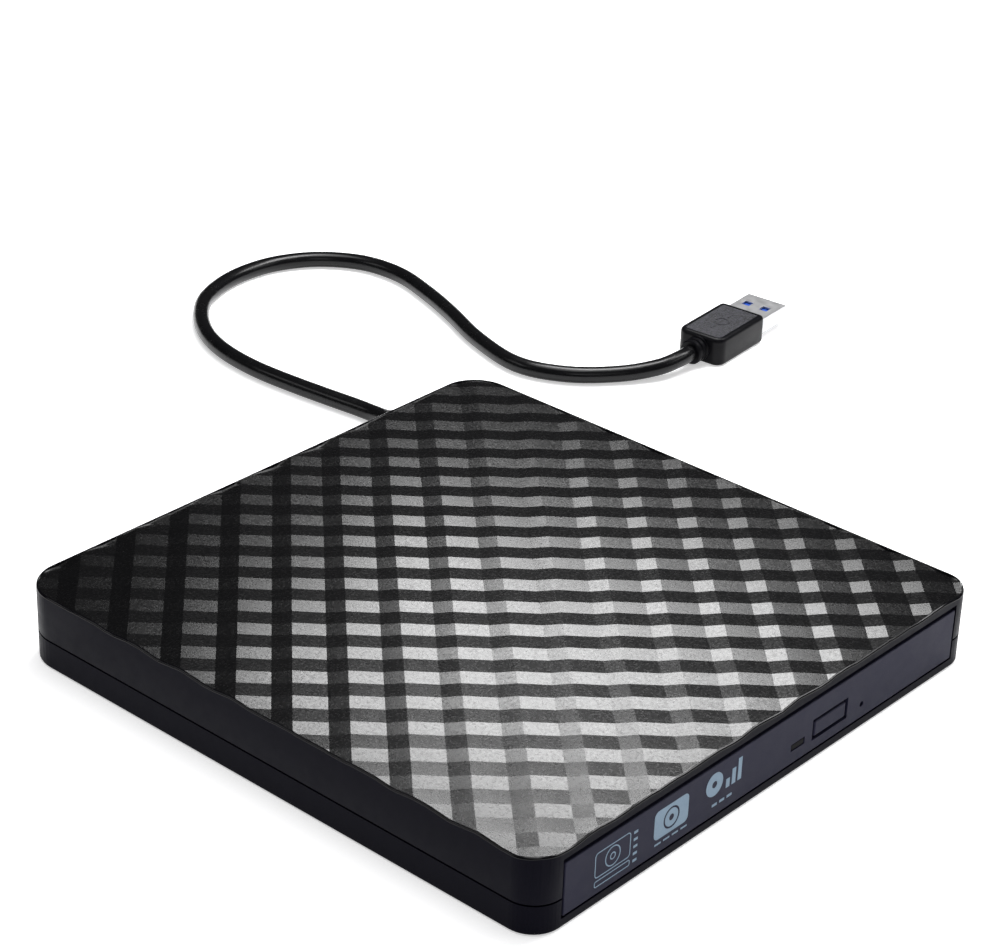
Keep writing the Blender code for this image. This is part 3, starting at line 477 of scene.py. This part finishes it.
def relief_sheet():
    """The relief's flat facets, trimmed to the inside of the rounded rim."""
    across = creases(BANDS_ACROSS, True)
    along = creases(BANDS_ALONG, False)
    base = TOP - BANDS_ACROSS[3] - BANDS_ALONG[3]
    # plan position from the two band coordinates: they are not quite at right angles
    to_plan = Matrix((ACROSS, ALONG)).inverted()
    bm = bmesh.new()
    grid = []
    for u, rise_u in across:
        row = []
        for v, rise_v in along:
            x, y = to_plan @ Vector((u, v))
            row.append(bm.verts.new((x, y, base + rise_u + rise_v)))
        grid.append(row)
    for near, far in zip(grid, grid[1:]):
        for i in range(len(near) - 1):
            bm.faces.new((near[i], near[i + 1], far[i + 1], far[i]))
    outline = rounded_outline(WIDTH, DEPTH, CORNERS, RIM, 16)
    for (x1, y1), (x2, y2) in zip(outline, outline[1:] + outline[:1]):
        bmesh.ops.bisect_plane(bm, geom=bm.verts[:] + bm.edges[:] + bm.faces[:], dist=0.0001,
                               plane_co=(x1, y1, 0.0), plane_no=(y2 - y1, x1 - x2, 0.0), clear_outer=True)
    return bm


def border_loop(bm):
    """The sheet's border, in order."""
    line = next(edge for edge in bm.edges if len(edge.link_faces) == 1)
    start, vert = line.verts
    loop = [start, vert]
    while True:
        line = next(edge for edge in vert.link_edges if len(edge.link_faces) == 1 and edge is not line)
        vert = line.other_vert(vert)
        if vert is start:
            return loop
        loop.append(vert)


def rim_point(place, angle):
    """Where the rounded rim is, angle round from the relief's border, for one point of that border."""
    radius = CORNERS[0] if place.y > 0.0 else CORNERS[1]
    half_x, half_y = WIDTH / 2 - radius, DEPTH / 2 - radius
    centre = Vector((min(max(place.x, -half_x), half_x), min(max(place.y, -half_y), half_y)))
    out = (Vector((place.x, place.y)) - centre).normalized()
    # the rear and right edges run level, the others follow the relief
    level = min(max((out.x + out.y + 0.2) / 0.8, 0.0), 1.0)
    level *= level * (3.0 - 2.0 * level) * min(math.sin(angle) / RIM_LIFT, 1.0)
    start = place.z + (RIM_LEVEL - place.z) * level
    x, y = centre + out * (radius - RIM + RIM * math.sin(angle))
    return x, y, start - RIM * (1.0 - math.cos(angle)), out


def relief_cutter():
    """Everything above the relief and its rounded rim, as one closed solid."""
    bm = relief_sheet()
    loop = border_loop(bm)
    places = [vert.co.copy() for vert in loop]
    rings = [loop]
    for degrees in RIM_DEGREES:
        ring = [rim_point(place, math.radians(degrees)) for place in places]
        rings.append([bm.verts.new((x, y, z)) for x, y, z, out in ring])
    rings.append([bm.verts.new((x + CUT_SPREAD * out.x, y + CUT_SPREAD * out.y, z)) for x, y, z, out in ring])
    rings.append([bm.verts.new((vert.co.x, vert.co.y, TOP + CUT_HEIGHT)) for vert in rings[-1]])
    for near, far in zip(rings, rings[1:]):
        for i in range(len(near)):
            j = (i + 1) % len(near)
            bm.faces.new((near[i], near[j], far[j], far[i]))
    bm.faces.new(rings[-1])
    bmesh.ops.recalc_face_normals(bm, faces=bm.faces[:])
    return tool_object(bm)


def make_upper_shell(relief, side, edge):
    """The hollow shell, cut to the relief on top, with its openings and screw bosses."""
    low = SPLIT + PARTING
    # (inset, height) from the inside of the top, down the wall, round its softened lower edge and up outside
    levels = [(WALL, CEILING), (WALL, LIP_TOP), (LIP_INSET, LIP_TOP), (LIP_INSET, low + 0.1),
              (LIP_INSET + 0.1, low), (0.22, low), (0.07, low + 0.06), (0.0, low + 0.22), (0.0, TOP + 3.0)]
    bm = bmesh.new()
    loft(bm, [[(x, y, z) for x, y in rounded_outline(WIDTH, DEPTH, CORNERS, inset, 24)]
              for inset, z in levels])
    shell = add_piece("upper_cover", bm, side, None)
    carve(shell, relief_cutter())
    front = bmesh.new()
    add_box(front, (-OPENING_HALF, OPENING_HALF), (-DEPTH / 2 - 2.0, -DEPTH / 2 + WALL + 0.6),
            (SPLIT - 2.0, OPENING_TOP))
    carve(shell, tool_object(front))
    hole = bmesh.new()
    add_turned(hole, [(LEAD_HOLE_RADIUS, DEPTH / 2 - WALL - 1.0), (LEAD_HOLE_RADIUS, DEPTH / 2 + 1.0)],
               (LEAD_EXIT[0], -LEAD_EXIT[2]), 32)
    for vert in hole.verts:     # turned about an upright axis, and then laid along +Y
        x, y, z = vert.co
        vert.co = (x, z, -y)
    carve(shell, tool_object(hole))
    bosses = bmesh.new()
    for place in BOSSES:
        add_turned(bosses, [(BOSS_RADIUS, height) for height in BOSS_HEIGHTS], place, 24)
    carve(shell, tool_object(bosses), "UNION")
    screw_holes = bmesh.new()
    for place in BOSSES:
        add_turned(screw_holes, [(SCREW_HOLE_RADIUS, height) for height in SCREW_HOLE_HEIGHTS], place, 16)
    carve(shell, tool_object(screw_holes))
    finish_upper_shell(shell.data, relief, edge)
    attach(shell, "housing")
    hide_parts("upper_shell")


def finish_upper_shell(mesh, relief, edge):
    """Give the relief and the rim their finishes, and keep the facets flat between crisp creases."""
    mesh.materials.append(relief)
    mesh.materials.append(edge)
    mesh.shade_smooth()
    bm = bmesh.new()
    bm.from_mesh(mesh)
    for face in bm.faces:
        place = face.calc_center_median() / MM
        inside = all(abs(rim_depth(vert.co / MM)) > RIM - 0.02 for vert in face.verts)
        if face.normal.z > 0.9 and place.z > RELIEF_LOWEST and inside:
            face.material_index = 1
        elif face.normal.z > 0.05 and place.z > RIM_LOWEST:
            face.material_index = 2
    for line in bm.edges:
        if len(line.link_faces) == 2:
            facets = [face.material_index == 1 for face in line.link_faces]
            limit = 3.0 if all(facets) else 0.0 if any(facets) else 35.0
            line.smooth = line.calc_face_angle() < math.radians(limit)
    bm.to_mesh(mesh)
    bm.free()


def rim_depth(place):
    """How far a point of the plan is inside the housing's outline."""
    radius = CORNERS[0] if place.y > 0.0 else CORNERS[1]
    x = max(abs(place.x) - (WIDTH / 2 - radius), 0.0)
    y = max(abs(place.y) - (DEPTH / 2 - radius), 0.0)
    return radius - math.hypot(x, y)


# ---- printed marks on the bezel --------------------------------------------------------------------

INK_FRONT, INK_BACK = 0.03, 0.02    # how far the ink stands in front of the bezel, and goes into it
INK_LINE = 0.22
FRAME_ACROSS = (-55.8, -45.2)       # the outlined frame of the first mark
PLATE_ACROSS = (-38.0, -27.4)       # the filled frame of the second mark
FIRST_DISC = (-50.5, 9.25)
SECOND_DISC = (-32.7, 9.25)
THIRD_DISC = (-19.2, 10.2)


def rounded_loop(x, z, radius, steps=6):
    """A rounded rectangle in the bezel's plane."""
    wide, high = x[1] - x[0], z[1] - z[0]
    mid_x, mid_z = sum(x) / 2, sum(z) / 2
    return [(mid_x + px, mid_z + pz) for px, pz in rounded_outline(wide, high, (radius, radius), 0.0, steps)]


def round_loop(centre, radius, count=28):
    """A circle that starts at the same angle as rounded_loop, so that the two can be joined."""
    return [(centre[0] + radius * math.cos(2 * math.pi * (i + 0.5) / count),
             centre[1] + radius * math.sin(2 * math.pi * (i + 0.5) / count)) for i in range(count)]


def ink_plate(bm, outer, inner=None):
    """A thin printed shape, or a ring of it when an inner loop is given."""
    face = box_mm("tray_bezel")[0].y
    front, back = face - INK_FRONT, face + INK_BACK
    if inner is None:
        loft(bm, [[(x, y, z) for x, z in outer] for y in (front, back)])
    else:
        loft(bm, [[(x, front, z) for x, z in outer], [(x, front, z) for x, z in inner],
                  [(x, back, z) for x, z in inner], [(x, back, z) for x, z in outer]], closed=True)


def ink_outline(bm, x, z, radius):
    inner_x, inner_z = ((span[0] + INK_LINE, span[1] - INK_LINE) for span in (x, z))
    ink_plate(bm, rounded_loop(x, z, radius), rounded_loop(inner_x, inner_z, radius - INK_LINE))


def ink_ring(bm, centre, outer, inner):
    ink_plate(bm, round_loop(centre, outer), round_loop(centre, inner))


def ink_bar(bm, x, z):
    ink_plate(bm, [(x[0], z[0]), (x[1], z[0]), (x[1], z[1]), (x[0], z[1])])


def make_marks(look):
    """Three plain pictograms: a disc in an outlined frame, a disc in a filled frame, a disc with bars."""
    bm = bmesh.new()
    ink_outline(bm, FRAME_ACROSS, (6.3, 12.2), 0.9)
    ink_ring(bm, FIRST_DISC, 2.3, 2.04)
    ink_ring(bm, FIRST_DISC, 0.85, 0.6)
    ink_outline(bm, FRAME_ACROSS, (4.2, 5.7), 0.5)
    for step in range(5):       # a column of short bars beside the frame
        ink_bar(bm, (-44.3, -43.1), (4.4 + 1.65 * step, 5.0 + 1.65 * step))
    ink_plate(bm, rounded_loop(PLATE_ACROSS, (5.9, 12.6), 1.3), round_loop(SECOND_DISC, 2.5))
    ink_ring(bm, SECOND_DISC, 2.05, 0.75)
    for step in range(4):       # a row of short bars under the plate
        ink_bar(bm, (-37.6 + 2.7 * step, -35.7 + 2.7 * step), (4.6, 5.0))
    ink_ring(bm, THIRD_DISC, 2.7, 0.8)
    for step in range(3):       # bars that grow beside the third disc
        ink_bar(bm, (-15.4 + 1.9 * step, -14.2 + 1.9 * step), (7.5, 9.6 + 1.6 * step))
    for step in range(3):       # a row of short bars under it
        ink_bar(bm, (-19.6 + 2.4 * step, -18.0 + 2.4 * step), (4.9, 5.5))
    add_piece("bezel_marks", bm, look, "tray")


def ink_look():
    look = Look("marking_ink", (0.17, 0.26, 0.35), 0.5)
    look.vary_colour(look.noise(0.5, 3.0, 0.6), 0.12)
    look.vary_roughness(look.noise(1.2, 3.0, 0.6))
    look.bump(look.noise(0.15, 2.0, 0.5), 0.006)
    return look


# ---- plug, boot and spring -------------------------------------------------------------------------

PLUG_LENGTH, PLUG_WIDTH = 22.0, 14.0
PLUG_RADII = (1.5, 2.8)             # plan radii at the metal shell's end and at the lead's end
PLUG_EDGE = 1.2
PAD_INSETS = (1.38, 1.48)           # the grip pad's border, at the top and where it is sunk
PAD_DEPTH = 0.15
SIGN_RADII = (2.3, 1.7)
SIGN_BARS = ((-5.2, -3.2), (3.2, 5.2))
SIGN_SIDES = 28
# (radius, place along the plug) of the ridged collar
COLLAR = [(2.2, -4.0), (3.0, -4.0), (3.35, -3.7), (3.35, -2.9), (3.0, -2.7), (3.0, -2.2), (3.35, -2.0),
          (3.35, -1.2), (3.0, -1.0), (3.0, -0.5), (3.4, -0.3), (3.4, 0.7), (2.2, 0.7)]
# (radius, Y) of the strain relief: a flange inside the wall, then ribs that get smaller towards the lead
BOOT = [(2.3, 71.2), (4.4, 71.2), (4.4, 72.0), (3.2, 72.0), (3.2, 74.5), (2.65, 74.7), (2.65, 75.1),
        (3.05, 75.3), (3.05, 76.1), (2.55, 76.3), (2.55, 76.7), (2.9, 76.9), (2.9, 77.6), (2.45, 77.8),
        (2.45, 78.2), (2.75, 78.4), (2.75, 79.1), (2.4, 79.4), (2.4, 79.9), (2.3, 80.0)]


def plug_frame():
    """Where the plug lies: its own X runs from the lead to the metal shell."""
    place = Matrix.Translation(Vector((*PLUG_PLACE, 0.0)) * MM)
    return place @ Matrix.Rotation(PLUG_YAW, 4, "Z")


def plug_ring(inset, height):
    """The plug body's outline: rounder at the lead's end (low x) than at the shell's."""
    return [(PLUG_LENGTH / 2 + y, -x, height)
            for x, y in rounded_outline(PLUG_WIDTH, PLUG_LENGTH, PLUG_RADII, inset, 8)]


def make_plug(look, grip):
    """The moulded body: rounded block, sunk grip pad with a plain raised sign, and a ridged collar."""
    bends = [math.radians(degrees) for degrees in (0.0, 18.0, 36.0, 54.0, 72.0, 90.0)]
    rings = [plug_ring(PLUG_EDGE * (1.0 - math.sin(a)), PLUG_EDGE * (1.0 - math.cos(a))) for a in bends]
    rings += [plug_ring(PLUG_EDGE * (1.0 - math.cos(a)), PLUG_HEIGHT - PLUG_EDGE * (1.0 - math.sin(a)))
              for a in bends]
    rings += [plug_ring(PAD_INSETS[0], PLUG_HEIGHT), plug_ring(PAD_INSETS[1], PLUG_HEIGHT - PAD_DEPTH)]
    bm = bmesh.new()
    loft(bm, rings)
    pad = max(bm.faces, key=lambda face: face.calc_center_median().z * (len(face.verts) > 8))
    pad.material_index = 1
    add_sign(bm, PLUG_HEIGHT - 0.4, PLUG_HEIGHT - 0.02)
    loft(bm, [[(x, r * math.cos(t), PLUG_HEIGHT / 2 + r * math.sin(t))
               for t in (2 * math.pi * i / 32 for i in range(32))] for r, x in COLLAR])
    plug = add_piece("plug_body", bm, look, "housing", ("usb_plug_body",), 35.0, plug_frame())
    plug.data.materials.append(grip)
    return plug


def add_sign(bm, low, high):
    """A plain ring with a bar on each side."""
    start = len(bm.faces)
    middle = PLUG_LENGTH / 2
    outer, inner = ([(middle + r * math.cos(t), r * math.sin(t))
                     for t in (2 * math.pi * i / SIGN_SIDES for i in range(SIGN_SIDES))] for r in SIGN_RADII)
    loft(bm, [[(x, y, high) for x, y in outer], [(x, y, high) for x, y in inner],
              [(x, y, low) for x, y in inner], [(x, y, low) for x, y in outer]], closed=True)
    for near, far in SIGN_BARS:
        add_box(bm, (middle + near, middle + far), (-0.3, 0.3), (low, high))
    bm.faces.ensure_lookup_table()
    for face in bm.faces[start:]:
        face.material_index = 1


def make_boot(look):
    """The ribbed strain relief at the rear wall."""
    bm = bmesh.new()
    loft(bm, [[(LEAD_EXIT[0] + r * math.cos(t), y, LEAD_EXIT[2] + r * math.sin(t))
               for t in (2 * math.pi * i / 36 for i in range(36))] for r, y in BOOT])
    return add_piece("lead_boot", bm, look, "housing", ("strain_relief",), 35.0)


SPRING_END = 0.32                   # from the end of the spring's room to the middle of the last coil's wire


def make_spring(look):
    """The ejector's coil spring, which stretches between the tray and its plunger."""
    low, high = box_mm("ejector_spring")
    x, z = (low.x + high.x) / 2, (low.z + high.z) / 2
    start, end = low.y + SPRING_END, high.y - SPRING_END
    coils, steps, radius, wire = 5, 28, 1.7, 0.26
    rings = []
    for step in range(coils * steps + 1):
        turn = 2.0 * math.pi * step / steps
        out = Vector((math.cos(turn), 0.0, math.sin(turn)))
        centre = Vector((x, start + (end - start) * step / (coils * steps), z)) + radius * out
        rings.append([centre + wire * (math.cos(a) * out + math.sin(a) * Vector((0.0, 1.0, 0.0)))
                      for a in (2.0 * math.pi * i / 10 for i in range(10))])
    bm = bmesh.new()
    loft(bm, rings)
    coil = add_piece("ejector_coil", bm, look, None, smooth_angle=35.0)
    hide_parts("ejector_spring")
    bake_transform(coil)


# ---- studio ----------------------------------------------------------------------------------------

FLOOR_HALF = 4.0 / MM
FLOOR_HEIGHTS = (-20.0, 0.0)
FLOOR_GLOW = 0.5
SKY_STRENGTH = 0.03


def soft_light(name, place, rotation, size, power):
    data = bpy.data.lights.new(name, "AREA")
    data.shape = "RECTANGLE"
    data.size, data.size_y = size
    data.energy = power
    light = bpy.data.objects.new(name, data)
    SCENE.collection.objects.link(light)
    light.location = place
    light.rotation_euler = rotation
    return light


def aimed_light(name, place, aim, size, power):
    turn = (Vector(aim) - Vector(place)).to_track_quat("-Z", "Y")
    soft_light(name, place, turn.to_euler(), size, power)


def strip_light(name, azimuth, elevation, distance, tilt, size, power):
    """An area light that faces the object's middle: azimuth is from +Y towards +X, angles are in degrees."""
    azimuth, elevation, tilt = (math.radians(angle) for angle in (azimuth, elevation, tilt))
    out = Vector((math.sin(azimuth) * math.cos(elevation), math.cos(azimuth) * math.cos(elevation),
                  math.sin(elevation)))
    right = out.cross(Vector((0.0, 0.0, 1.0))).normalized()
    up = right.cross(out)
    side = math.cos(tilt) * right + math.sin(tilt) * up
    top = math.sin(tilt) * right - math.cos(tilt) * up
    rotation = Matrix((side, top, out)).transposed().to_euler()
    light = soft_light(name, out * distance, rotation, size, power)
    light.visible_camera = False


def make_studio():
    bm = bmesh.new()
    low, high = -FLOOR_HALF, FLOOR_HALF
    loft(bm, [[(low, low, z), (high, low, z), (high, high, z), (low, high, z)] for z in FLOOR_HEIGHTS])
    look = Look("studio_floor", (0.86, 0.86, 0.87), 0.7, specular=0.2)
    look.set("Emission Color", (1.0, 1.0, 1.0, 1.0))
    look.set("Emission Strength", FLOOR_GLOW)
    look.bump(look.noise(1.5, 3.0, 0.5), 0.01)
    look.vary_colour(look.noise(60.0, 3.0, 0.5), 0.01)
    floor = add_piece("studio_floor", bm, look.material, None)
    world = bpy.data.worlds.new("studio")
    SCENE.world = world
    world.use_nodes = True
    sky = world.node_tree.nodes["Background"]
    sky.inputs["Color"].default_value = (1.0, 1.0, 1.0, 1.0)
    sky.inputs["Strength"].default_value = SKY_STRENGTH
    aimed_light("overhead", (0.15, 0.2, 2.6), (0.15, 0.2, 0.0), (1.6, 1.6), 43.0)
    aimed_light("edge_light", (0.668, -0.19, 0.752), (0.0, -0.074, 0.018), (0.25, 0.35), 4.0)
    # two strips behind the object, which the relief's facets mirror towards the camera
    strip_light("strip_high", 52.8, 52.4, 0.34, 16.0, (0.150, 0.042), 0.479)
    strip_light("strip_low", 61.5, 45.4, 0.34, 16.0, (0.160, 0.042), 0.511)
    # weaker lights all round, which the relief mirrors when it is looked at from the other sides
    for index, azimuth in enumerate((-48.0, -138.0, 138.0)):
        strip_light(f"fill_{index + 1}", azimuth, 36.0, 1.2, 0.0, (0.55, 0.22), 1.1)


# ---- build -----------------------------------------------------------------------------------------

def finish_nodes(looks):
    """Give every CAD node the look of its material slot, and the plug's shell a duller plating."""
    for name, node in NODES.items():
        for slot in node.material_slots:
            slot.material = looks[SLOT_OF[name]].material
    plated = sheet_metal("plug_plating", (0.50, 0.50, 0.51), 0.38)
    plated.set("Metallic", 0.75)
    NODES["usb_plug_shell"].material_slots[0].material = plated.material


def build():
    SCENE.view_settings.view_transform = "Standard"
    looks = make_looks()
    make_camera()
    lead = make_lead(looks["cable_jacket"].material)
    finish_nodes(looks)
    rim = moulded("rim_plastic", (0.0020, 0.0019, 0.0030), 0.16, 0.30, 0.003, specular=0.3)
    make_upper_shell(relief_look().material, looks["housing_plastic"].material, rim.material)
    make_marks(ink_look().material)
    moulding = moulded("plug_moulding", (0.003, 0.003, 0.004), 0.34, 0.25, 0.006, specular=0.09)
    plug = make_plug(moulding.material, grip_look().material)
    boot = make_boot(looks["rubber"].material)
    make_spring(looks["steel_parts"].material)
    make_studio()


build()
